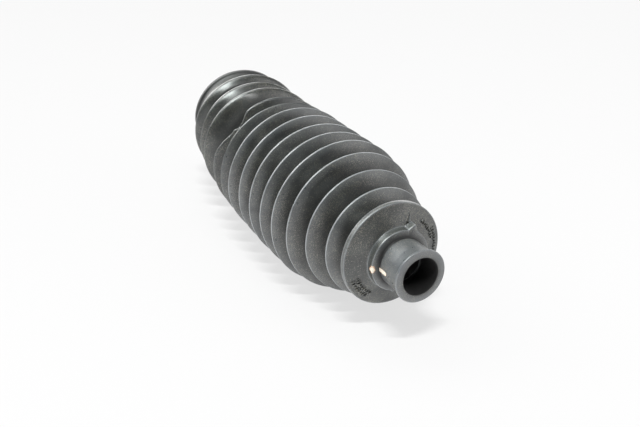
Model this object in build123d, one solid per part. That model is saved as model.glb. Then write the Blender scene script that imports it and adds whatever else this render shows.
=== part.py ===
from build123d import *
from math import cos, sin, pi, radians
import os

# A moulded rubber bellows boot: a small cuff, fourteen convolutions and a large cuff, all one piece.
# It lies on its side as it was left. Lengths are in millimetres and angles in degrees.
# The origin is the middle of the small cuff's mouth. +Y runs along the boot to its large end, +Z is up.

# Small cuff: a lip, a smooth seat for a clip, and a collar
small_bore_r = 7.4
small_tube_r = 9.5
small_lip_height = 1.1
small_lip_length = 1.8
small_lip_chamfer = 0.8
small_flare_length = 3.6
groove_end = 13.3
collar_height = 2.9
collar_length = 3.0
collar_chamfer = 0.4

# Inside of the small cuff: a low sealing rib, and a funnel that opens into the folds
small_rib_height = 0.5
small_rib_length = 1.2
small_rib_setback = 3.8
funnel_length = 1.6
funnel_flare = 1.6

# Pointed lug that the mould leaves on top of the collar
lug_width = 3.4
lug_height = 1.9
lug_length = 2.2
lug_angle = 65.0

# Convolutions, numbered from the small end
crest_count = 14
body_first_crest_number = 5
body_last_crest_number = 9
bunched_crest_count = 11
front_cone_length = 3.0
pitch = 9.87
bunching = 1.0
first_crest_r = 20.9
body_crest_r = 30.5
last_crest_r = 25.8
first_fold_depth = 5.4
body_fold_depth = 7.5
last_fold_depth = 6.0
first_crest_land = 2.0
crest_land = 0.8
root_land = 1.8
wall = 1.3
crest_wall = 1.9
ring_side_count = 48

# Bend that the far folds have taken, and the depth of the small flats that the boot lies on
bend_angle = 11.0
bend_roll = 31.0
bend_crest_number = 8
flat_depth = 0.5

# Dent on the upper left, behind one crest, which is pushed in and towards the small end.
# The fold at the dent stands more open than the others.
dent_crest_number = 11
dent_opening = 5.0
dent_angle = 131.0
dent_half_angle = 35.0
dent_setback = 5.0
dent_reach = 10.0
dent_depth = 3.8
crush_reach = 8.0
crush_shift = 1.1

# Large cuff: a plain seat for a band, and a lip at the end
cuff_r = 21.4
cuff_wall = 2.2
cuff_length = 10.5
cuff_lip_height = 0.9
cuff_lip_length = 2.4

# How far one shape runs into the next where they are joined or cut
overlap = 1.0


def blend(k, first, body, last):
    """A size that runs from the first crest's value through the body's to the last crest's."""
    if k < body_first_crest_number:
        t = (k - 1) / (body_first_crest_number - 1)
        return first + (body - first) * t * t * (3 - 2 * t)
    if k > body_last_crest_number:
        t = (k - body_last_crest_number) / (crest_count - body_last_crest_number)
        return body + (last - body) * t
    return body


collar_end = groove_end + collar_length
collar_r = small_tube_r + collar_height
first_crest = collar_end + front_cone_length + first_crest_land / 2


def crest_station(k):
    """Length along the boot to the middle of crest k. The near crests sit a little bunched."""
    bunched = bunching * max(0.0, sin(pi * (k - 1) / (bunched_crest_count - 2)))
    opened = dent_opening if k > dent_crest_number else 0.0
    return first_crest + (k - 1) * pitch - bunched + opened


def crest_radius(k):
    return blend(k, first_crest_r, body_crest_r, last_crest_r)


def root_station(k):
    """Length to the root between crests k and k + 1."""
    return (crest_station(k) + crest_station(k + 1)) / 2


def root_radius(k):
    depth = blend(k, first_fold_depth, body_fold_depth, last_fold_depth)
    return min(crest_radius(k), crest_radius(k + 1)) - depth


# The centre line is straight, then an arc, then straight again through the large cuff
bend_start = root_station(bend_crest_number)
cuff_start = crest_station(crest_count) + pitch / 2
boot_end = cuff_start + cuff_length
bend_radius = (cuff_start - bend_start) / radians(bend_angle)
bend_side = Vector(cos(radians(bend_roll)), 0, sin(radians(bend_roll)))
along = Vector(0, 1, 0)
up = Vector(0, 0, 1)
dent_station = crest_station(dent_crest_number) + dent_setback
resting_height = body_crest_r - flat_depth


def spine(s):
    """Plane square to the centre line at length s, with its x to the right and its y up."""
    turn = min(max(s - bend_start, 0) / bend_radius, radians(bend_angle))
    straight_after = max(s - cuff_start, 0)
    tangent = along * cos(turn) + bend_side * sin(turn)
    centre = along * (min(s, bend_start) + bend_radius * sin(turn))
    centre += bend_side * (bend_radius * (1 - cos(turn))) + tangent * straight_after
    return Plane(origin=centre, x_dir=tangent.cross(up).normalized(), z_dir=tangent * -1)


def bump(x, reach):
    """Smooth hump: 1 in the middle, 0 from the reach outwards."""
    return cos(pi / 2 * x / reach) ** 2 if abs(x) < reach else 0.0


def ring(s, radius):
    """Corners of the many-sided ring at length s, pushed in by the dent and pressed flat below."""
    plane = spine(s)
    push = dent_depth * bump(s - dent_station, dent_reach)
    shift = crush_shift * bump(s - crest_station(dent_crest_number), crush_reach)
    corners = []
    for i in range(ring_side_count):
        angle = 360 * i / ring_side_count
        hump = bump(angle - dent_angle, dent_half_angle)
        r = radius - push * hump
        flat = Vector(r * cos(radians(angle)), r * sin(radians(angle)), shift * hump)
        corner = plane.from_local_coords(flat)
        corners.append(Vector(corner.X, corner.Y, max(corner.Z, -resting_height)))
    return corners


def facets(a, b, c, d):
    """Flat faces on four corners: one face where they lie in a plane, otherwise two."""
    twist = (b - a).cross(c - a).dot(d - a)
    if abs(twist) < 1e-6:
        return [Face(Wire.make_polygon([a, b, c, d]))]
    return [Face(Wire.make_polygon([a, b, c])), Face(Wire.make_polygon([a, c, d]))]


def folded(outline):
    """Closed solid with flat facets from ring to ring, one ring at each (length, radius) pair."""
    rings = [ring(s, r) for s, r in outline]
    faces = [Face(Wire.make_polygon(rings[0])), Face(Wire.make_polygon(rings[-1]))]
    for near, far in zip(rings, rings[1:]):
        for i in range(ring_side_count):
            faces += facets(near[i - 1], near[i], far[i], far[i - 1])
    return Solid(Shell(faces))


def carried_on(start, end, s):
    """The (length, radius) pair at length s on the straight line through two such pairs."""
    return (s, start[1] + (end[1] - start[1]) * (s - start[0]) / (end[0] - start[0]))


def skin():
    """The outside of the folds and of the large cuff. It starts inside the small cuff's collar."""
    seat = (collar_end, collar_r - collar_chamfer)
    first_land = (collar_end + front_cone_length, first_crest_r)
    outline = [carried_on(seat, first_land, collar_end - overlap)]
    for k in range(1, crest_count + 1):
        half_land = (first_crest_land if k == 1 else crest_land) / 2
        s = crest_station(k)
        outline += [(s - half_land, crest_radius(k)), (s + half_land, crest_radius(k))]
        if k < crest_count:
            outline.append((root_station(k), root_radius(k)))
    lip_start = boot_end - cuff_lip_length
    lip_r = cuff_r + cuff_lip_height
    outline += [(cuff_start, cuff_r), (lip_start, cuff_r), (lip_start + cuff_lip_height / 2, lip_r)]
    outline.append((boot_end, lip_r))
    return folded(outline)


def hollow():
    """The room inside the folds, from the small cuff's funnel to the large cuff's bore."""
    outline = [(collar_end + wall, collar_r)]
    for k in range(1, crest_count):
        middle = root_station(k)
        r = root_radius(k) - wall
        outline.append((crest_station(k), crest_radius(k) - crest_wall))
        outline += [(middle - root_land / 2, r), (middle + root_land / 2, r)]
    last = (crest_station(crest_count), crest_radius(crest_count) - crest_wall)
    bore_start = (cuff_start, cuff_r - cuff_wall)
    outline += [last, carried_on(last, bore_start, cuff_start + overlap)]
    return folded(outline)


def large_bore():
    """Round bore of the large cuff, from inside the hollow to clear of the end."""
    start = spine(cuff_start)
    seat = Plane(origin=start.origin, x_dir=start.x_dir, z_dir=start.z_dir * -1)
    length = cuff_length + 2 * overlap
    return seat * Pos(0, 0, length / 2 - overlap) * Cylinder(cuff_r - cuff_wall, length)


def turned(outline):
    """Solid of revolution about the straight axis from (radius, length) pairs or a wire's edges."""
    return revolve(make_face(outline), Axis.Y)


def small_cuff():
    """Outside of the small cuff, turned: lip, flare into the tube, and collar."""
    lip_r = small_tube_r + small_lip_height
    flare_end = small_lip_length + small_flare_length
    front = Polyline(
        (0, 0),
        (lip_r - small_lip_chamfer, 0),
        (lip_r, small_lip_chamfer),
        (lip_r, small_lip_length),
    )
    flare = Spline((lip_r, small_lip_length), (small_tube_r, flare_end), tangents=[(-1, 1), (0, 1)])
    back = Polyline(
        (small_tube_r, flare_end),
        (small_tube_r, groove_end),
        (collar_r - collar_chamfer, groove_end),
        (collar_r, groove_end + collar_chamfer),
        (collar_r, collar_end),
        (0, collar_end),
        (0, 0),
    )
    return turned([front, flare, back])


def small_void():
    """Inside of the small cuff, turned: bore, sealing rib and funnel, on into the hollow."""
    funnel_start = collar_end - funnel_length / 2
    funnel_r = small_bore_r + funnel_flare
    rib_end = funnel_start - small_rib_setback
    rib_start = rib_end - small_rib_length
    inside = Polyline(
        (0, -overlap),
        (small_bore_r, -overlap),
        (small_bore_r, rib_start),
        (small_bore_r - small_rib_height, (rib_start + rib_end) / 2),
        (small_bore_r, rib_end),
        (small_bore_r, funnel_start),
        (funnel_r, funnel_start + funnel_length),
        (funnel_r, collar_end + wall + overlap),
        (0, collar_end + wall + overlap),
        (0, -overlap),
    )
    return turned([inside])


def collar_lug():
    """Small three-sided lug standing on the collar, its point outwards."""
    low = collar_r - collar_chamfer
    half = lug_width / 2
    outline = Polyline((low, -half), (collar_r + lug_height, 0), (low, half), (low, -half))
    prism = extrude(make_face(outline), lug_length)
    return Pos(0, collar_end, 0) * Rot(90, 0, 0) * Rot(0, 0, lug_angle) * prism


outside = small_cuff() + skin() + collar_lug()
inside = hollow() + small_void() + large_bore()
boot = outside - inside

os.makedirs("parts", exist_ok=True)
export_step(boot, "parts/bellows_boot.step")
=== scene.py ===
# %% [markdown]
# # A rubber bellows boot
#
# This lesson dresses one moulded rubber part: a soft tube of folds with a small cuff at one end and a
# large cuff at the other. Such a boot keeps grease in and grit out where a rod leaves its housing.
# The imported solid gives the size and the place. Everything below is built in the same frame, in
# metres: the origin is the middle of the small cuff's mouth, +Y runs along the boot and +Z is up.

# %% Load the fixed frame
import math
import bmesh
import bpy
import numpy as np
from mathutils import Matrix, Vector


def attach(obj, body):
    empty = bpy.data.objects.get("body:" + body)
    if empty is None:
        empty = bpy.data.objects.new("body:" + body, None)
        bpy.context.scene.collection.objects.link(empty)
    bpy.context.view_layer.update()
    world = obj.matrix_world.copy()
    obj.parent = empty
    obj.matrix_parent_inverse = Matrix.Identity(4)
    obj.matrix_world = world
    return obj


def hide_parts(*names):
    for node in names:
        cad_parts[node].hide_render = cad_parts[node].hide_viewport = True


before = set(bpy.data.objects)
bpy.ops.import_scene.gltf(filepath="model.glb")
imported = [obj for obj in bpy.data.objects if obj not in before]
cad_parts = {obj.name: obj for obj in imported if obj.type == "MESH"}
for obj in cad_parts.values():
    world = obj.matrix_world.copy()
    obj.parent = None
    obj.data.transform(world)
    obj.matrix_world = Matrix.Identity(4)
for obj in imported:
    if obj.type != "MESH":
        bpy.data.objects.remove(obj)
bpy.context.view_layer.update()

MM = 0.001

# %% [markdown]
# ## The folds
#
# The convolutions grow over the first few crests, stay full through the body and shrink a little
# towards the large cuff. A table of radii would work, but a few short rules say the same and can be
# changed in one place: one gives the place of a crest along the boot, another gives its radius.
# Behind crest 11 the fold stands open, because the dent has pushed its two sides apart.

# %% Where each crest and root lies, in millimetres
CRESTS = 14
FIRST_CREST = 20.3
PITCH = 9.87
BUNCHING = 1.0
BUNCHED_PITCHES = 9
FULL_FROM = 5
FULL_TO = 9
CREST_RADII = (20.9, 30.5, 25.8)
FOLD_DEPTHS = (5.4, 7.5, 6.0)
DENT_CREST = 11
DENT_OPENING = 5.0


def blend(k, first, body, last):
    """A size that grows to the body's value by crest 5, and runs on from crest 9 to the last one."""
    if k < FULL_FROM:
        t = (k - 1) / (FULL_FROM - 1)
        return first + (body - first) * t * t * (3 - 2 * t)
    return body + (last - body) * max(0, k - FULL_TO) / (CRESTS - FULL_TO)


def crest_place(k):
    bunched = BUNCHING * max(0.0, math.sin(math.pi * (k - 1) / BUNCHED_PITCHES))
    return FIRST_CREST + (k - 1) * PITCH - bunched + (DENT_OPENING if k > DENT_CREST else 0.0)


def crest_radius(k):
    return blend(k, *CREST_RADII)


def root_place(k):
    return (crest_place(k) + crest_place(k + 1)) / 2


def root_radius(k):
    return min(crest_radius(k), crest_radius(k + 1)) - blend(k, *FOLD_DEPTHS)


print("crests at", [round(crest_place(k)) for k in range(1, CRESTS + 1)])

# %% [markdown]
# ## The centre line
#
# The near half of the boot lies straight. The far half has taken a gentle set to the right and up,
# so its rings fan out along an arc. A curve object with a bevel could follow such a path, but it can't
# hold folds of different heights. So the boot is built ring by ring: one function gives the point and
# the cross directions of the centre line at any length, and every ring is laid out from it.

# %% Centre line: straight, an arc, then straight through the large cuff
BEND_ANGLE = math.radians(11.0)
BEND_ROLL = math.radians(31.0)
BEND_START = root_place(8)
CUFF_LENGTH = 10.5
CUFF_START = crest_place(CRESTS) + PITCH / 2
BOOT_END = CUFF_START + CUFF_LENGTH
BEND_RADIUS = (CUFF_START - BEND_START) / BEND_ANGLE
BEND_SIDE = np.array([math.cos(BEND_ROLL), 0.0, math.sin(BEND_ROLL)])
ALONG = np.array([0.0, 1.0, 0.0])


def centre_line(s):
    """Point, right, up and forward direction of the centre line at each length in s."""
    s = np.asarray(s, float)[:, None]
    turn = np.clip((s - BEND_START) / BEND_RADIUS, 0.0, BEND_ANGLE)
    forward = ALONG * np.cos(turn) + BEND_SIDE * np.sin(turn)
    point = ALONG * (np.minimum(s, BEND_START) + BEND_RADIUS * np.sin(turn))
    point = point + BEND_SIDE * (BEND_RADIUS * (1 - np.cos(turn)))
    point = point + forward * np.maximum(s - CUFF_START, 0.0)
    right = np.cross(forward, [0.0, 0.0, 1.0])
    right /= np.linalg.norm(right, axis=1, keepdims=True)
    return point, right, np.cross(right, forward), forward


print("the far end turns away by", round(math.degrees(BEND_ANGLE)), "degrees over",
      round(CUFF_START - BEND_START), "mm")

# %% [markdown]
# ## The wall's outline
#
# Cut the boot along its length and the rubber shows as one band: from the inside of the small cuff
# out over its lip and collar, up and down the folds, round the large cuff and back along the inside.
# Each corner of that band is written as length, radius and the rounding that the mould gave it. A
# bevel modifier could round the corners too, but here the rows can stand close together where a
# highlight runs along an edge and far apart where the rubber is flat.
#
# The band is written in three parts. The front part has small marks on it and needs rows close
# together. The folds need fewer, and the inside needs the fewest, because almost nobody sees it. All
# three have the same columns, so their shared rows meet point for point.

# %% Corners of the small cuff and the first face, as (length, radius, rounding)
LIP_R = 10.6
TUBE_R = 9.5
BORE_R = 7.4
COLLAR_R = 12.4
LIP_END = 0.8
FLARE_END = 5.4
RIB_PLACE = 11.1
RIB_HEIGHT = 0.55
RIB_HALF = 0.6
GROOVE_END = 13.3
FUNNEL_START = 15.5
COLLAR_END = 16.3
WALL = 1.3
FIRST_LAND = 1.0
FIRST_R = crest_radius(1)
CRISP = 0.3

funnel = [(COLLAR_END + WALL, COLLAR_R, 0), (COLLAR_END + 0.8, 9.0, 0.5), (FUNNEL_START, BORE_R, 0.8)]
rib = [(RIB_PLACE + RIB_HALF, BORE_R, CRISP), (RIB_PLACE, BORE_R - RIB_HEIGHT, 0.4)]
rib.append((RIB_PLACE - RIB_HALF, BORE_R, CRISP))
mouth = [(0.0, BORE_R, CRISP), (0.0, LIP_R - 0.35, CRISP), (0.3, LIP_R, CRISP), (LIP_END, LIP_R, CRISP)]
tube = [(1.8, TUBE_R + 0.3, 0.8), (FLARE_END, TUBE_R, 4.0), (GROOVE_END - 0.2, TUBE_R, 0.35)]
collar = [(GROOVE_END, COLLAR_R - 0.1, CRISP), (GROOVE_END + 0.6, COLLAR_R, CRISP)]
collar.append((COLLAR_END, COLLAR_R, 0.4))
first_face = [(FIRST_CREST - FIRST_LAND, FIRST_R, CRISP), (FIRST_CREST, FIRST_R, 0)]
front_corners = funnel + rib + mouth + tube + collar + first_face
print("corners of the front:", len(front_corners))

# %% Corners of the folds and the large cuff
CUFF_R = 21.4
CUFF_LIP_R = 22.3
CUFF_BORE_R = 19.2
CUFF_LIP_START = BOOT_END - 2.0
LAND = 0.4
SQUEEZE = 1.6
ROOT_ROUNDING = 0.9
SOFT_FROM = 10
FIRST_SOFTNESS = 0.45
SOFTER_BY = 0.5
CUT_BACK = 0.7

fold_corners = [(FIRST_CREST, FIRST_R, 0), (FIRST_CREST + FIRST_LAND, FIRST_R, CRISP)]
for k in range(2, CRESTS + 1):
    fold_corners.append((root_place(k - 1), root_radius(k - 1) - SQUEEZE, ROOT_ROUNDING))
    if k < SOFT_FROM:
        fold_corners += [(crest_place(k) + side * LAND, crest_radius(k), CRISP) for side in (-1, 1)]
    else:
        softness = FIRST_SOFTNESS + SOFTER_BY * (k - SOFT_FROM)
        fold_corners.append((crest_place(k), crest_radius(k) + CUT_BACK * softness, softness))
fold_corners += [(CUFF_START, CUFF_R, 2.0), (CUFF_LIP_START - 0.6, CUFF_R, 0.6)]
fold_corners += [(CUFF_LIP_START, CUFF_LIP_R, 0.5), (BOOT_END, CUFF_LIP_R, 0.6), (BOOT_END, CUFF_BORE_R, 0)]
print("corners of the folds:", len(fold_corners))

# %% Corners of the inside
CREST_WALL = 1.9
ROOT_HALF = 0.9
INSIDE_ROUNDING = 0.8

inside_corners = [(BOOT_END, CUFF_BORE_R, 0), (CUFF_START, CUFF_BORE_R, 1.5)]
inside_corners.append((crest_place(CRESTS), crest_radius(CRESTS) - CREST_WALL, 1.0))
for k in range(CRESTS - 1, 0, -1):
    r = root_radius(k) - SQUEEZE - WALL
    inside_corners += [(root_place(k) + side * ROOT_HALF, r, INSIDE_ROUNDING) for side in (1, -1)]
    inside_corners.append((crest_place(k), crest_radius(k) - CREST_WALL, INSIDE_ROUNDING))
inside_corners.append((COLLAR_END + WALL, COLLAR_R, 0))
print("corners of the inside:", len(inside_corners))

# %% [markdown]
# ## From corners to rows
#
# A mould leaves no truly sharp edge on rubber, and it is the small curves that catch the light.
# Rounding a corner means cutting it back along both of its sides and putting a curve in the gap. The
# straight runs between are divided by a step that each part chooses for itself. A subdivision modifier
# would smooth everything alike, so the crisp near crests and the soft far ones would look the same.

# %% Round the corners and divide the straight runs
NEARLY_HALF = 0.47


def rounded(points, run_step, curve_steps):
    """Rows (length, radius) along an open outline, with a curve at each corner between its ends."""
    rows = [np.array(points[0][:2], float)]
    for before, corner, after in zip(points, points[1:], points[2:]):
        here = np.array(corner[:2])
        to_before, to_after = np.array(before[:2]) - here, np.array(after[:2]) - here
        long_before, long_after = np.linalg.norm(to_before), np.linalg.norm(to_after)
        a, b = to_before / long_before, to_after / long_after
        opening = math.acos(float(np.clip(a @ b, -1, 1)))
        cut = min(corner[2] / math.tan(opening / 2), NEARLY_HALF * long_before, NEARLY_HALF * long_after)
        start, end = here + a * cut, here + b * cut
        for t in np.linspace(0, 1, curve_steps(corner[2])):
            rows.append((1 - t) ** 2 * start + 2 * t * (1 - t) * here + t * t * end)
    rows.append(np.array(points[-1][:2], float))
    filled = []
    for here, after in zip(rows, rows[1:]):
        steps = max(1, round(np.linalg.norm(after - here) / run_step(*(here + after) / 2)))
        filled += [here + (after - here) * j / steps for j in range(steps)]
    return np.array(filled + [rows[-1]])


# %% Steps for each part, in millimetres along a run and in points over a curve
DENT_FROM = 111
DENT_TO = 131


def front_step(s, r):
    on_tube = 5.5 < s < GROOVE_END and abs(r - TUBE_R) < 0.1
    on_first_face = COLLAR_END < s < 19.4 and r > COLLAR_R
    return 0.45 if on_tube or on_first_face else 1.5


def fold_step(s, r):
    return 1.3 if DENT_FROM < s < DENT_TO else 3.3


def inside_step(s, r):
    return 20.0


def seen_curve(rounding):
    return 3 if rounding < 0.8 else 5


def hidden_curve(rounding):
    return 2


front_rows = rounded(front_corners, front_step, seen_curve)
fold_rows = rounded(fold_corners, fold_step, seen_curve)
inside_rows = rounded(inside_corners, inside_step, hidden_curve)
print("rows:", len(front_rows), len(fold_rows), len(inside_rows))

# %% [markdown]
# ## Round the boot, with its dent and the mould's marks
#
# A spin would repeat the outline exactly, but this boot isn't perfectly round any more. Its upper left
# has a dent where something has pressed a fold in and folded its crest over. The mould's part line
# left a lug, a spike and a small notch by the collar, and the lowest crests are pressed flat where
# they bear on the table. So each row is laid out round the centre line with small pushes added: in or
# out along the radius, and back or forward along the boot. Sculpting would do this too, but then the
# numbers couldn't be changed later.

# %% Columns round the boot, closer together where there is something small to show
COLUMN_STEP = 3.0
FINE_PARTS = {"lug": (59, 75, 0.4), "tab": (-113, -97, 1.0), "dab": (176, 192, 0.9), "dent": (104, 168, 1.25)}


def columns(step, fine_parts):
    """Angles at an even step, with finer steps added inside each (from, to, step) part."""
    parts = [np.arange(-180, 180, step)]
    parts += [(np.arange(start, stop, fine) + 180) % 360 - 180 for start, stop, fine in fine_parts]
    return np.unique(np.round(np.concatenate(parts), 3))


angles = columns(COLUMN_STEP, FINE_PARTS.values())
print("columns:", len(angles))


# %% Helpers for the pushes
def hump(x, reach):
    """1 in the middle, falling smoothly to 0 at the reach."""
    return np.where(np.abs(x) < reach, np.cos(np.pi / 2 * x / reach) ** 2, 0.0)


def ramp(x, low, high):
    return np.clip((x - low) / (high - low), 0, 1)


def turn_from(angle, centre):
    return (angle - centre + 180) % 360 - 180


def over_arc(angle, centre, radius):
    """Distance in mm along a circle from the angle centre."""
    return turn_from(angle, centre) * np.pi / 180 * radius


def apart(s, r, angle, s0, angle0):
    """Distance in mm over the surface from the point at length s0 and angle0."""
    return np.hypot(s - s0, over_arc(angle, angle0, r))


print("a hump at 0, 0.5 and 1 of its reach:", hump(np.array([0.0, 0.5, 1.0]), 1.0).round(2))

# %% [markdown]
# ## The dent
#
# Rubber that has been squeezed for a long time can keep the shape. Here it is a hollow behind crest 11,
# a low bulge beside it, the crest itself pinched and pulled towards the small cuff, and two dimples
# with a small rise between them. The folds behind are stretched smooth on top. Each of these is one
# hump with a place, a reach and a size. A cloth simulation could crush the fold too, but it would be
# hard to make it leave the dent just here.

# %% The dent's hollow, bulge, pinch and dimples
DENT_ANGLE = 131.0
DENT_HALF_ANGLE = 38
HOLLOW_PLACE = 123.0
HOLLOW_REACH = 5.2
HOLLOW_DEPTH = 8.5
BULGE_PLACE = 129.5
BULGE_REACH = 5.0
BULGE_HEIGHT = 2.0
BULGE_TURN = 31
BULGE_HALF_ANGLE = 28
PINCH_PLACE = 118.6
PINCH_REACH = 6.0
PINCH_DEPTH = 2.6
PINCH_SHORT_SIDE = 17
PINCH_LONG_SIDE = 42
PULL = 1.5
PULL_REACH = 8.0
DIMPLES = ((117.7, 132.5, -1.3, 1.7), (117.2, 144.0, -1.3, 1.7), (118.6, 138.0, 0.5, 2.0))
STRETCH = 0.7
STRETCH_ANGLE = 110
STRETCH_HALF_ANGLE = 55
STRETCHED_PLACES = [*(crest_place(k) for k in (12, 13, 14)), 160]
STRETCHED_RADII = [27.7, 26.7, 25.8, 22.0]


def dent_pushes(s, r, angle):
    """Push along the radius and along the boot, in mm, from everything that the dent has done."""
    a = turn_from(angle, DENT_ANGLE)
    dr = -HOLLOW_DEPTH * hump(a, DENT_HALF_ANGLE) * hump(s - HOLLOW_PLACE, HOLLOW_REACH)
    dr = dr + BULGE_HEIGHT * hump(a + BULGE_TURN, BULGE_HALF_ANGLE) * hump(s - BULGE_PLACE, BULGE_REACH)
    pinched = np.where(a < 0, hump(a, PINCH_SHORT_SIDE), hump(a, PINCH_LONG_SIDE))
    dr = dr - PINCH_DEPTH * pinched * hump(s - PINCH_PLACE, PINCH_REACH)
    ds = -PULL * pinched * hump(s - crest_place(DENT_CREST), PULL_REACH)
    for s0, angle0, height, reach in DIMPLES:
        dr = dr + height * hump(apart(s, r, angle, s0, angle0), reach)
    stretched = hump(turn_from(angle, STRETCH_ANGLE), STRETCH_HALF_ANGLE)
    stretched = stretched * ramp(s, DENT_TO, DENT_TO + 5) * ramp(-s, -160, -155)
    outermost = np.interp(s, STRETCHED_PLACES, STRETCHED_RADII)
    on_folds = r > TUBE_R * 2
    return dr + STRETCH * stretched * np.maximum(outermost - r, 0) * on_folds, ds


middle = dent_pushes(np.array([[HOLLOW_PLACE]]), root_radius(DENT_CREST), np.array([[DENT_ANGLE]]))[0]
print("in the middle of the hollow the rubber is pushed in by", round(-float(middle[0, 0]), 1), "mm")

# %% [markdown]
# ## How the boot rests
#
# A soft roll lies on a small flat spot, not on a line. The crests that touch the table are pushed in a
# little, and whatever would still go through the table is held at its height. Moulded rubber is also
# never quite even, so a slow wander of about a tenth of a millimetre runs through the folds. It could
# be noise in a displace modifier, but the sum of two sines does as well here and stays the same each run.

# %% The table's pressure and the wander
RESTING = -30.0
PRESSED = 1.2
PRESSED_ANGLE = 222
PRESSED_HALF_ANGLE = 40
PRESSED_PLACE = 101
PRESSED_REACH = 27
WANDER = 0.08
FINE_WANDER = 0.05


def rest_pushes(s, r, angle):
    below = hump(turn_from(angle, PRESSED_ANGLE), PRESSED_HALF_ANGLE)
    pressed = -PRESSED * below * hump(s - PRESSED_PLACE, PRESSED_REACH)
    a = np.radians(angle)
    wander = WANDER * np.sin(2 * a + s / 9) + FINE_WANDER * np.sin(5 * a - s / 5)
    return pressed + wander * ramp(s, 22, 45)


print("pressed in by up to", PRESSED, "mm, uneven by up to", WANDER + FINE_WANDER, "mm")

# %% [markdown]
# ## The mould's marks by the collar
#
# The mould opens along a part line, and the rubber shows it: a three-sided lug on the collar, a thin
# spike that runs up the first face and a notch at its foot. A small tab lies on the collar's other
# side. They could be separate meshes sunk into the boot, but pushes keep the rubber in one skin, with
# no seam where they start. Their edges also store how much they are rubbed, and the same value paints
# a highlight along them.

# %% Lug and tab on the collar
PART_LINE = 67.0
LUG_ANGLE = PART_LINE - 2
LUG_HEIGHT = 2.3
LUG_HALF_WIDTH = 2.1
EDGE_WIDTH = 0.3
TAB_ANGLE = -103
TAB_HEIGHT = 0.5
TAB_HALF_WIDTH = 0.9


def collar_marks(s, r, angle, outside):
    """Push along the radius from the lug and the tab, and wear with a painted highlight on the lug's edges.
    """
    on_collar = outside & (s > GROOVE_END - 0.1) & (s < COLLAR_END + 0.1) & (r > COLLAR_R - 0.5)
    across = over_arc(angle, LUG_ANGLE, COLLAR_R)
    lug = LUG_HEIGHT * np.clip(1 - np.abs(across) / LUG_HALF_WIDTH, 0, 1)
    tab = TAB_HEIGHT * hump(over_arc(angle, TAB_ANGLE, COLLAR_R), TAB_HALF_WIDTH)
    ridge = np.exp(-((across / EDGE_WIDTH) ** 2))
    feet = np.exp(-(((np.abs(across) - LUG_HALF_WIDTH) / EDGE_WIDTH) ** 2))
    return np.where(on_collar, lug + tab, 0.0), np.where(on_collar, 0.8 * (ridge + feet), 0.0)


print("the lug stands", LUG_HEIGHT, "mm above the collar")

# %% Spike and notch on the first face
SPIKE_HEIGHT = 0.75
SPIKE_FOOT_R = 14.2
SPIKE_TIP_R = 18.4
NOTCH_DEPTH = 0.75
NOTCH_R = 13.5


def face_marks(s, r, angle, outside):
    """Push along the boot from the spike and the notch, and wear with a painted highlight on the spike."""
    on_face = outside & (s > COLLAR_END - 0.4) & (s < 19.35) & (r > COLLAR_R)
    across = over_arc(angle, PART_LINE + 0.5, r)
    half_width = 0.15 + 0.5 * ramp(-r, -18.2, -14.3)
    height = ramp(-r, -SPIKE_TIP_R, -14.6) * ramp(r, SPIKE_FOOT_R - 0.3, SPIKE_FOOT_R)
    spike = SPIKE_HEIGHT * height * np.clip(1 - np.abs(across) / half_width, 0, 1)
    notch = NOTCH_DEPTH * hump(r - NOTCH_R, 0.6) * hump(across, 1.5)
    return np.where(on_face, notch - spike, 0.0), np.where(on_face, 1.4 * spike, 0.0)


print("the spike is", round(SPIKE_TIP_R - SPIKE_FOOT_R, 1), "mm long")

# %% [markdown]
# ## Rings in space
#
# Now each row becomes a ring round the centre line, with all the pushes added up. One function does it
# for a whole part at once, because numpy handles a grid of points much faster than a loop handles them
# one by one.

# %% Lay out rows and columns in space
def lay_out(rows, angles, outside):
    """Grid of points in metres, and how much each point of the mould's marks is rubbed, which also paints its
    highlight.
    """
    s, r = rows[:, :1], rows[:, 1:]
    angle = angles[None, :]
    dr, ds = dent_pushes(s, r, angle)
    dr = dr + rest_pushes(s, r, angle)
    mark_dr, collar_wear_and_highlight = collar_marks(s, r, angle, outside)
    mark_ds, face_wear_and_highlight = face_marks(s, r, angle, outside)
    point, right, up, forward = (v[:, None, :] for v in centre_line(rows[:, 0]))
    a = np.radians(angle)[:, :, None]
    radius = (r + dr + mark_dr)[:, :, None]
    places = point + (right * np.cos(a) + up * np.sin(a)) * radius + forward * (ds + mark_ds)[:, :, None]
    places[:, :, 2] = np.maximum(places[:, :, 2], RESTING)
    return places * MM, np.maximum(collar_wear_and_highlight, face_wear_and_highlight)


# %% [markdown]
# ## Wear, painted highlights and painted shade that the mesh knows about
#
# Rubber turns paler where it is rubbed, and here that is along the crests and the collar's edges. The
# same paler colour also paints the highlights that these edges catch. The mesh knows where those are,
# so each point stores how close it is to one, and the material reads the value. Other attributes mark
# a dab of paint on the collar and the tube, the depths of the folds, the collar's groove and band, the
# dent, the far rim and the inside, which get painted shade and a duller finish, and the smooth skin of
# the small cuff, whose paler bluish colour paints its sheen. Painting masks by hand would also work,
# but they would have to be painted anew after each change of shape.

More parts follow.
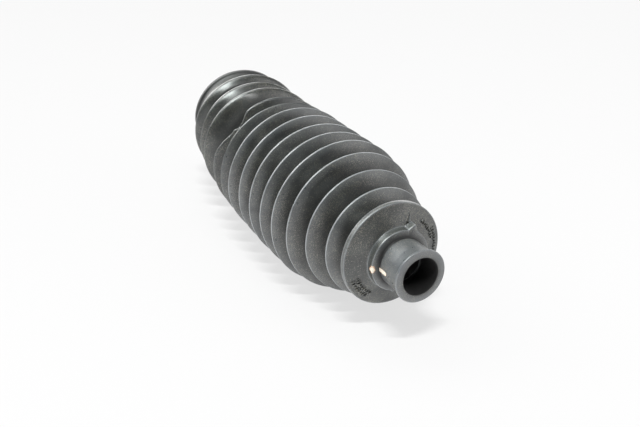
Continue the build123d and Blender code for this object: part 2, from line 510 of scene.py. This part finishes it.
# %% How much each point is rubbed, which also paints highlights on its edges
def rubbed_and_highlighted(rows, angles, mark_wear_and_highlight):
    """1 on a rubbed edge with a painted highlight, falling to 0 beside it, for each point of a grid."""
    # Worn edges, whose pale colour also paints the highlights on the lip, the bore's rib, the collar and the
    # crests.
    edges = [(0.1, LIP_R - 0.15, 0.25, 0.55), (LIP_END, LIP_R, 0.3, 0.3)]
    edges += [(RIB_PLACE, BORE_R - 0.45, 0.35, 1.0), (GROOVE_END + 0.05, COLLAR_R - 0.1, 0.25, 0.8)]
    edges += [(COLLAR_END, COLLAR_R, 0.25, 0.8)]
    edges += [(FIRST_CREST - FIRST_LAND, FIRST_R, 0.22, 1.0), (FIRST_CREST + FIRST_LAND, FIRST_R, 0.2, 0.9)]
    for k in range(2, CRESTS + 1):
        width = 0.24 + 0.12 * max(0, k - 7)
        strength = max(0.0, 0.9 - 0.18 * max(0, k - 7))
        edges += [(crest_place(k) + side * 0.3, crest_radius(k), width, strength) for side in (-1, 1)]
    wear_and_highlight = np.zeros(len(rows))
    for s0, r0, width, strength in edges:
        distance = np.hypot(rows[:, 0] - s0, rows[:, 1] - r0)
        wear_and_highlight = np.maximum(wear_and_highlight, strength * np.exp(-(distance / width) ** 2))
    return np.maximum(wear_and_highlight[:, None] * np.ones(len(angles)), 0.9 * mark_wear_and_highlight)


# %% Where the dab of paint lies: a blot on the collar and a stroke on the tube
BLOT = {"place": 13.7, "angle": 183.0, "radius": 1.5}
STROKE = {"place": 10.6, "angle": 184.6, "half_width": 0.95, "half_length": 2.5}


def painted(rows, angles):
    """Above 0 inside the paint and below 0 outside it."""
    s, r, angle = rows[:, :1], rows[:, 1:], angles[None, :]
    wobble = 0.25 * np.sin(angle * 1.9) + 0.2 * np.sin(3.1 * s + 0.7 * angle)
    across = over_arc(angle, BLOT["angle"], r)
    on_collar = (s > GROOVE_END - 0.15) & (s < 15.2) & (r > 11.3)
    blot = BLOT["radius"] - np.hypot(across, (s - BLOT["place"]) * 0.9) + wobble
    across = over_arc(angle, STROKE["angle"], r) / STROKE["half_width"]
    along = (s - STROKE["place"]) / STROKE["half_length"]
    on_tube = (np.abs(r - TUBE_R) < 0.1) & (s > 7) & (s < GROOVE_END - 0.4)
    stroke = 1 - across ** 4 - along ** 4 + 0.3 * wobble
    return np.maximum(np.where(on_collar, blot, -1), np.where(on_tube, stroke, -1))


# %% Where painted shade lies in the folds and hollows, and where the small cuff's sheen is painted
def outside_of_wall(rows):
    """True for the rows on the outer side of the wall, the large cuff's last row among them."""
    if rows is inside_rows:
        return np.arange(len(rows)) == 0
    return np.arange(len(rows)) >= int(np.argmin(rows[:, 0]))


def shade_and_matt_in_folds(rows, angles):
    """Painted shade and dullness: 0 on a crest and 1 at a root, about 1 in grooves, the dent and the far rim,
    2 inside.
    """
    s, r = rows[:, 0], rows[:, 1]
    places = [crest_place(k) for k in range(1, CRESTS + 1)]
    outermost = np.interp(s, places, [crest_radius(k) for k in range(1, CRESTS + 1)])
    # Painted shade: darker the deeper a point lies below the crests, and in the groove, collar band, far rim
    # and inside.
    fold = np.where((s > FIRST_CREST) & (s < CUFF_START), ramp(outermost - r, 1.5, 6.5), 0.0)
    groove = np.where((s > GROOVE_END - 1.4) & (s < GROOVE_END + 0.1) & (r < COLLAR_R - 0.4), 1.25, 0.0)
    band = np.where((s > GROOVE_END + 0.9) & (s < COLLAR_END - 0.7) & (r > COLLAR_R - 0.2), 0.8, 0.0)
    rim = np.where(outside_of_wall(rows), np.where(s > CUFF_START + 5, 1.0, 0.0), 2.0)
    dent = hump(turn_from(angles[None, :], DENT_ANGLE), DENT_HALF_ANGLE) * hump(s[:, None] - 122.5, 5.5)
    return np.maximum(np.maximum(fold, np.maximum(groove + band, rim))[:, None], 1.2 * dent)


def painted_skin_sheen(rows, angles):
    """1 on the small cuff's tube, whose paler bluish colour paints the sheen of its smooth skin, and less on
    the face of its lip.
    """
    s, r = rows[:, 0], rows[:, 1]
    # Painted sheen: a paler colour stands in for the tube's reflection, a little less on the lip face.
    painted_sheen = np.where(s < 0.2, 0.8, 1.0) * ((s < GROOVE_END - 0.3) & (r > BORE_R + 0.4))
    return painted_sheen[:, None] * np.ones(len(angles))


# %% [markdown]
# ## One closed mesh
#
# The three grids are turned into one mesh and their shared rows are welded. Three objects would be
# easier to make, but the boot was moulded in one go, so it stays one object with one unbroken skin.

# %% Points, faces and stored values of the three grids
points, faces, rub_and_highlight, paint, shade_and_matt, skin_sheen = [], [], [], [], [], []
for rows in (front_rows, fold_rows, inside_rows):
    outer = outside_of_wall(rows)[:, None]
    grid, mark_wear_and_highlight = lay_out(rows, angles, outer)
    index = np.arange(grid.shape[0] * grid.shape[1]).reshape(grid.shape[:2]) + sum(len(p) for p in points)
    around = np.roll(index, -1, axis=1)
    faces.append(np.stack([index[:-1], around[:-1], around[1:], index[1:]], axis=-1).reshape(-1, 4))
    points.append(grid.reshape(-1, 3))
    rub_and_highlight.append(rubbed_and_highlighted(rows, angles, mark_wear_and_highlight).ravel())
    paint.append(np.where(outer, painted(rows, angles), -1.0).ravel())
    shade_and_matt.append(shade_and_matt_in_folds(rows, angles).ravel())
    skin_sheen.append(painted_skin_sheen(rows, angles).ravel())
print("points:", sum(len(p) for p in points), "of which rubbed:", int((np.concatenate(rub_and_highlight) > 0.5).sum()))

# %% Build and weld
WELD_DISTANCE = 0.000002

mesh = bpy.data.meshes.new("bellows_boot_rubber")
mesh.from_pydata(np.concatenate(points).tolist(), [], np.concatenate(faces).tolist())
for name, values in (("rub_and_highlight", rub_and_highlight), ("paint", paint), ("shade_and_matt", shade_and_matt), ("skin_sheen", skin_sheen)):
    attribute = mesh.attributes.new(name, "FLOAT", "POINT")
    attribute.data.foreach_set("value", np.concatenate(values).astype(np.float32))
bm = bmesh.new()
bm.from_mesh(mesh)
bmesh.ops.remove_doubles(bm, verts=bm.verts, dist=WELD_DISTANCE)
bmesh.ops.recalc_face_normals(bm, faces=bm.faces)
bm.to_mesh(mesh)
bm.free()
mesh.polygons.foreach_set("use_smooth", [True] * len(mesh.polygons))
boot = bpy.data.objects.new("bellows_boot_rubber", mesh)
bpy.context.scene.collection.objects.link(boot)
print("triangles:", sum(len(p.vertices) - 2 for p in mesh.polygons))

# %% [markdown]
# ## Moulded marks
#
# Moulded boots often have small raised tool marks on their first face. Here they are four short arcs
# of plain pips and bars, and each is a small dome half sunk in the rubber. A bump texture would be
# cheaper, but it wouldn't catch the light on its edges as these do.

# %% Arcs of pips and bars on the first face, as (radius, first angle, last angle, count)
ARCS = [(16.6, 12, 44, 9), (18.4, -8, 22, 9), (16.6, -160, -128, 9), (18.4, -158, -130, 8)]
BAR_HALF_LENGTH = 1.0
PIP_HALF_LENGTH = 0.5
MARK_HALF_WIDTH = 0.4
MARK_HEIGHT = 0.6


def face_point(radius, angle):
    s = COLLAR_END + (radius - COLLAR_R) * (FIRST_CREST - FIRST_LAND - COLLAR_END) / (FIRST_R - COLLAR_R)
    a = math.radians(angle)
    return Vector((radius * math.cos(a), s, radius * math.sin(a))) * MM


marks_bm = bmesh.new()
for radius, first, last, count in ARCS:
    for i in range(count):
        angle = first + (last - first) * i / (count - 1)
        here = face_point(radius, angle)
        outward = (face_point(radius + 1, angle) - here).normalized()
        around = Vector((-math.sin(math.radians(angle)), 0, math.cos(math.radians(angle))))
        normal = around.cross(outward).normalized()
        dome = bmesh.ops.create_icosphere(marks_bm, subdivisions=2, radius=MM)["verts"]
        half_length = BAR_HALF_LENGTH if (i * 5 + count) % 3 else PIP_HALF_LENGTH
        for vert in dome:
            x, y, z = vert.co
            long_way = outward * x * half_length
            vert.co = here + long_way + around * y * MARK_HALF_WIDTH + normal * z * MARK_HEIGHT
marks_mesh = bpy.data.meshes.new("moulded_marks")
marks_bm.to_mesh(marks_mesh)
marks_bm.free()
marks_mesh.polygons.foreach_set("use_smooth", [True] * len(marks_mesh.polygons))
marks = bpy.data.objects.new("moulded_marks", marks_mesh)
bpy.context.scene.collection.objects.link(marks)
print("marks:", len(marks_mesh.polygons), "faces")

# %% [markdown]
# ## Rubber
#
# Moulded black rubber is a dark grey with a satin gloss. A fine grain breaks up its highlights, a
# bloom makes some areas greyer, pale dust has settled in patches, and the crests are rubbed paler.
# That paler colour also paints highlights on the crests and other edges, a near black paints the shade
# in the folds and hollows, and a paler bluish colour paints the sheen of the small cuff's tube. It
# could come from photographs of rubber on an unwrapped mesh. Here the grain, bloom and dust come from
# noise in the object's own space, so they need no unwrapping, are at true scale and stay sharp close
# up, and the rest is read from values stored in the mesh.

# %% Node helpers
rubber = bpy.data.materials.new("rubber")
rubber.use_nodes = True
nodes, links = rubber.node_tree.nodes, rubber.node_tree.links
shader = nodes["Principled BSDF"]
place = nodes.new("ShaderNodeTexCoord")


def noise(scale, detail):
    """Noise whose blotches are about 1 / scale metres across."""
    node = nodes.new("ShaderNodeTexNoise")
    node.inputs["Scale"].default_value = scale
    node.inputs["Detail"].default_value = detail
    links.new(place.outputs["Object"], node.inputs["Vector"])
    return node.outputs["Fac"]


def between(value, low, high, to_low=0.0, to_high=1.0):
    node = nodes.new("ShaderNodeMapRange")
    for name, number in (("From Min", low), ("From Max", high), ("To Min", to_low), ("To Max", to_high)):
        node.inputs[name].default_value = number
    links.new(value, node.inputs["Value"])
    return node.outputs["Result"]


def mixed(amount, a, b):
    node = nodes.new("ShaderNodeMix")
    node.data_type = "RGBA"
    links.new(amount, node.inputs["Factor"])
    for socket, colour in ((node.inputs["A"], a), (node.inputs["B"], b)):
        if isinstance(colour, tuple):
            socket.default_value = (*colour, 1.0)
        else:
            links.new(colour, socket)
    return node.outputs["Result"]


def times(a, b):
    node = nodes.new("ShaderNodeMath")
    node.operation = "MULTIPLY"
    for socket, value in zip(node.inputs, (a, b)):
        if isinstance(value, float):
            socket.default_value = value
        else:
            links.new(value, socket)
    return node.outputs[0]


def stored(name):
    node = nodes.new("ShaderNodeAttribute")
    node.attribute_name = name
    return node.outputs["Fac"]


print("helpers ready, nodes:", len(nodes))

# %% Colour: bloom, the small cuff's painted sheen, grain, crumbs and dust
BARE_RUBBER = (0.010, 0.0125, 0.0125)
BLOOMED_RUBBER = (0.036, 0.042, 0.041)
# Paler bluish colour that paints the sheen of the small cuff's tube.
SKIN_SHEEN_COLOUR = (0.085, 0.092, 0.100)
GRAIN = (0.14, 0.15, 0.14)
GRAIN_SHARE = 0.12
CRUMB = (0.30, 0.28, 0.23)
CRUMB_SHARE = 0.5
DUST = (0.27, 0.25, 0.20)
DUST_SHARE = 0.8

bloom = between(noise(scale=140.0, detail=5.0), 0.36, 0.66)
colour = mixed(bloom, BARE_RUBBER, BLOOMED_RUBBER)
# Painted sheen: the small cuff's tube and lip face turn paler and bluer.
colour = mixed(stored("skin_sheen"), colour, SKIN_SHEEN_COLOUR)
grain = between(noise(scale=3600.0, detail=2.0), 0.35, 0.65)
colour = mixed(times(grain, GRAIN_SHARE), colour, GRAIN)
specks = between(noise(scale=4200.0, detail=0.0), 0.6, 0.7)
crumbs = between(noise(scale=2600.0, detail=0.0), 0.70, 0.76)
colour = mixed(times(crumbs, CRUMB_SHARE), colour, CRUMB)
patches = between(noise(scale=70.0, detail=3.0), 0.38, 0.58)
colour = mixed(times(times(specks, patches), DUST_SHARE), colour, DUST)
print("nodes so far:", len(nodes))

# %% Colour: painted shade in the folds, rubbed edges with painted highlights, and the dab of paint with its stained rim
# Near black that paints the shade in folds, grooves, the dent and the inside.
PAINTED_SHADE = (0.006, 0.006, 0.006)
PAINTED_SHADE_SHARE = 0.8
# Pale colour of rubbed edges, which also paints their highlights.
PALE_WEAR_AND_HIGHLIGHT = (0.33, 0.35, 0.37)
WEAR_AND_HIGHLIGHT_SHARE = 0.7
PAINT_RIM = (0.62, 0.30, 0.12)
PAINT = (0.85, 0.78, 0.66)

# Painted shade: folds, grooves, dent and inside turn near black where shade would fall.
colour = mixed(times(stored("shade_and_matt"), PAINTED_SHADE_SHARE), colour, PAINTED_SHADE)
# The paler rubbed colour also paints highlights on the crests, lip, rib, lug and spike.
wear_and_highlight = times(stored("rub_and_highlight"), between(noise(scale=300.0, detail=3.0), 0.3, 0.6, to_low=0.7))
colour = mixed(times(wear_and_highlight, WEAR_AND_HIGHLIGHT_SHARE), colour, PALE_WEAR_AND_HIGHLIGHT)
rim = between(stored("paint"), 0.0, 0.12)
colour = mixed(rim, colour, PAINT_RIM)
middle = between(stored("paint"), 0.18, 0.4)
colour = mixed(middle, colour, PAINT)
links.new(colour, shader.inputs["Base Color"])
print("nodes so far:", len(nodes))

# %% Gloss: satin outside, matt in the folds, with a fine pebble
satin = between(noise(scale=400.0, detail=4.0), 0.3, 0.7, to_low=0.27, to_high=0.36)
matt = between(stored("shade_and_matt"), 0.2, 2.0, to_high=0.5)
roughness = nodes.new("ShaderNodeMath")
links.new(satin, roughness.inputs[0])
links.new(matt, roughness.inputs[1])
links.new(roughness.outputs[0], shader.inputs["Roughness"])
shader.inputs["IOR"].default_value = 1.85
bump = nodes.new("ShaderNodeBump")
bump.inputs["Strength"].default_value = 0.15
bump.inputs["Distance"].default_value = 0.0001
links.new(noise(scale=2600.0, detail=3.0), bump.inputs["Height"])
links.new(bump.outputs["Normal"], shader.inputs["Normal"])
mesh.materials.append(rubber)
marks_mesh.materials.append(rubber)
print("rubber nodes:", len(nodes))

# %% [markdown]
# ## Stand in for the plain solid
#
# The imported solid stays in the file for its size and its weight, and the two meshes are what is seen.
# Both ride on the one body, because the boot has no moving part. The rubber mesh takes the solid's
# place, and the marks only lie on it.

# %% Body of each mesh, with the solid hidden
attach(boot, "root")
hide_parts("bellows_boot")
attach(marks, "root")
print("pieces:", boot.name, marks.name)

# %% [markdown]
# ## Floor
#
# The boot lies on a white table. The floor is a plain plane. It keeps the boot's shadow, but part of
# what the camera and the gloss see of it is a constant near-white, so the shadow stays as faint as on
# paper that is lit from all sides. A brighter lamp would also whiten the floor, but it would wash out
# the rubber.

# %% Floor plane
FLOOR_SIZE = 6.0

bpy.ops.mesh.primitive_plane_add(size=FLOOR_SIZE, location=(0, 0, RESTING * MM))
floor = bpy.context.active_object
floor.name = "floor"
print("floor at", RESTING, "mm")

# %% Paper: a share of constant near-white for the camera and the gloss
PAPER = (0.95, 0.95, 0.95, 1.0)
GLOW = (0.80, 0.80, 0.80, 1.0)
WHITE_SHARE = 0.86

paper = bpy.data.materials.new("paper")
paper.use_nodes = True
paper_nodes, paper_links = paper.node_tree.nodes, paper.node_tree.links
paper_shader = paper_nodes["Principled BSDF"]
paper_shader.inputs["Base Color"].default_value = PAPER
paper_shader.inputs["Roughness"].default_value = 0.8
paper_shader.inputs["Specular IOR Level"].default_value = 0.0
glow = paper_nodes.new("ShaderNodeEmission")
glow.inputs["Color"].default_value = GLOW
ray = paper_nodes.new("ShaderNodeLightPath")
seen = paper_nodes.new("ShaderNodeMath")
seen.operation = "MAXIMUM"
paper_links.new(ray.outputs["Is Camera Ray"], seen.inputs[0])
paper_links.new(ray.outputs["Is Glossy Ray"], seen.inputs[1])
share = paper_nodes.new("ShaderNodeMath")
share.operation = "MULTIPLY"
share.inputs[1].default_value = WHITE_SHARE
paper_links.new(seen.outputs[0], share.inputs[0])
shadow_and_glow = paper_nodes.new("ShaderNodeMixShader")
paper_links.new(share.outputs[0], shadow_and_glow.inputs["Fac"])
paper_links.new(paper_shader.outputs[0], shadow_and_glow.inputs[1])
paper_links.new(glow.outputs[0], shadow_and_glow.inputs[2])
paper_links.new(shadow_and_glow.outputs[0], paper_nodes["Material Output"].inputs["Surface"])
floor.data.materials.append(paper)
print("the camera sees", WHITE_SHARE, "of the glow and", round(1 - WHITE_SHARE, 2), "of the lit paper")

# %% [markdown]
# ## Room
#
# Satin rubber shows the room as much as its own colour, so the room matters. Lamps alone would leave
# black gaps between them. Here the world is a dim room with a few soft bright panels: a pale wall low
# behind the boot and along its right, a window behind its left and some ceiling. Each panel is a smooth
# spot round one direction. The side where the camera stands stays dark, which draws the dark valleys
# of the folds. A photograph of a room would give the same gloss, but its parts couldn't be moved.

# %% World
ROOM_DIMNESS = 0.01
CAMERA_SEES = 0.95

world = bpy.data.worlds.new("room")
world.use_nodes = True
room_nodes, room_links = world.node_tree.nodes, world.node_tree.links
background = room_nodes["Background"]
background.inputs["Color"].default_value = (1.0, 1.0, 1.0, 1.0)
facing = room_nodes.new("ShaderNodeTexCoord").outputs["Generated"]


def towards(azimuth, elevation):
    """Unit vector. Azimuth 0 is straight behind the boot and 90 is to its right."""
    a, e = math.radians(azimuth), math.radians(elevation)
    return Vector((math.sin(a) * math.cos(e), math.cos(a) * math.cos(e), math.sin(e)))


def panel(azimuth, elevation, reach, brightness):
    """Brightness of the room in each direction, from one soft round panel."""
    dot = room_nodes.new("ShaderNodeVectorMath")
    dot.operation = "DOT_PRODUCT"
    dot.inputs[1].default_value = towards(azimuth, elevation)
    room_links.new(facing, dot.inputs[0])
    edge = room_nodes.new("ShaderNodeMapRange")
    edge.interpolation_type = "SMOOTHSTEP"
    edge.inputs["From Min"].default_value = math.cos(math.radians(reach * 1.35))
    edge.inputs["From Max"].default_value = math.cos(math.radians(reach * 0.65))
    edge.inputs["To Max"].default_value = brightness
    room_links.new(dot.outputs["Value"], edge.inputs["Value"])
    return edge.outputs["Result"]


print("dimness of the room:", ROOM_DIMNESS)

# %% Panels as (azimuth, elevation, reach, brightness), added up
PANELS = [(-11, 9, 15, 4.4), (11, 9, 15, 4.4), (35, 10, 15, 2.4), (60, 10, 15, 1.4), (90, 10, 18, 0.8)]
PANELS += [(135, 10, 18, 1.3), (135, 35, 19, 0.94), (0, 60, 15, 2.6), (60, 60, 15, 1.0), (315, 35, 19, 2.3)]

total = None
for one in PANELS:
    added = room_nodes.new("ShaderNodeMath")
    added.inputs[0].default_value = ROOM_DIMNESS
    if total is not None:
        room_links.new(total, added.inputs[0])
    room_links.new(panel(*one), added.inputs[1])
    total = added.outputs[0]
camera_sees = room_nodes.new("ShaderNodeMix")
camera_sees.inputs["B"].default_value = CAMERA_SEES
room_links.new(room_nodes.new("ShaderNodeLightPath").outputs["Is Camera Ray"], camera_sees.inputs["Factor"])
room_links.new(total, camera_sees.inputs["A"])
room_links.new(camera_sees.outputs["Result"], background.inputs["Strength"])
bpy.context.scene.world = world
print("panels:", len(PANELS))

# %% [markdown]
# ## Lamps
#
# Three soft boxes do the rest. The one overhead is wide across the picture and thin the other way, and
# it lights everything. The shadow box is smaller and very bright, and lights the table alone, so each
# fold leaves a streak of its own in the shadow. The key light gives the rubber its sheen from behind
# its left. Light linking keeps it off the table, where it would add a second, wider shadow. One lamp
# could do all this, but then shadow and sheen couldn't be set apart.

# %% Lamps
MIDDLE = Vector((0.0, 0.08, 0.0))
LAMP_DISTANCE = 2.5
KEY_TINT = (0.92, 1.0, 0.98)


def softbox(name, azimuth, elevation, width, height, brightness):
    """A lamp aimed at the boot. Width and height are what it would measure at one metre."""
    data = bpy.data.lights.new(name, "AREA")
    data.shape = "RECTANGLE"
    data.size, data.size_y = width * LAMP_DISTANCE, height * LAMP_DISTANCE
    data.energy = 4 * brightness * data.size * data.size_y
    lamp = bpy.data.objects.new(name, data)
    direction = towards(azimuth, elevation)
    lamp.location = MIDDLE + direction * LAMP_DISTANCE
    lamp.rotation_euler = (-direction).to_track_quat("-Z", "Y").to_euler()
    bpy.context.scene.collection.objects.link(lamp)
    return lamp


softbox("overhead", azimuth=213, elevation=67, width=0.9, height=0.12, brightness=8.0)
shadow_box = softbox("shadow_box", azimuth=213, elevation=67, width=0.28, height=0.05, brightness=262.0)
key = softbox("key", azimuth=300, elevation=60, width=0.62, height=0.35, brightness=10.3)
key.data.color = KEY_TINT
for lamp, name, lit in ((key, "rubber_only", (boot, marks)), (shadow_box, "table_only", (floor,))):
    receivers = bpy.data.collections.new(name)
    for piece in lit:
        receivers.objects.link(piece)
    lamp.light_linking.receiver_collection = receivers
print("lamps are", LAMP_DISTANCE, "m away")

# %% [markdown]
# ## Camera
#
# The camera looks down on the small cuff from the front left, from about a third of a metre away. It
# could be placed by eye. Here its place and its turn were found by matching the rings of the boot with
# those in the photograph. The lens is the best of seven that were tried, and its neighbours fit nearly
# as well, so the distance is a fair guess and not a measurement.

# %% Camera
CAMERA_PLACE = (-0.1809, -0.2519, 0.1838)
LOOKS_DOWN = 27.2
LOOKS_RIGHT = 29.0

camera_data = bpy.data.cameras.new("camera")
camera_data.lens = 56.25
camera_data.sensor_width = 36.0
camera = bpy.data.objects.new("camera", camera_data)
camera.location = CAMERA_PLACE
camera.rotation_euler = (math.radians(90 - LOOKS_DOWN), 0.0, math.radians(-LOOKS_RIGHT))
bpy.context.scene.collection.objects.link(camera)
bpy.context.scene.camera = camera
bpy.context.scene.view_settings.view_transform = "Standard"
print("camera is", round(camera.location.length, 2), "m from the small cuff")
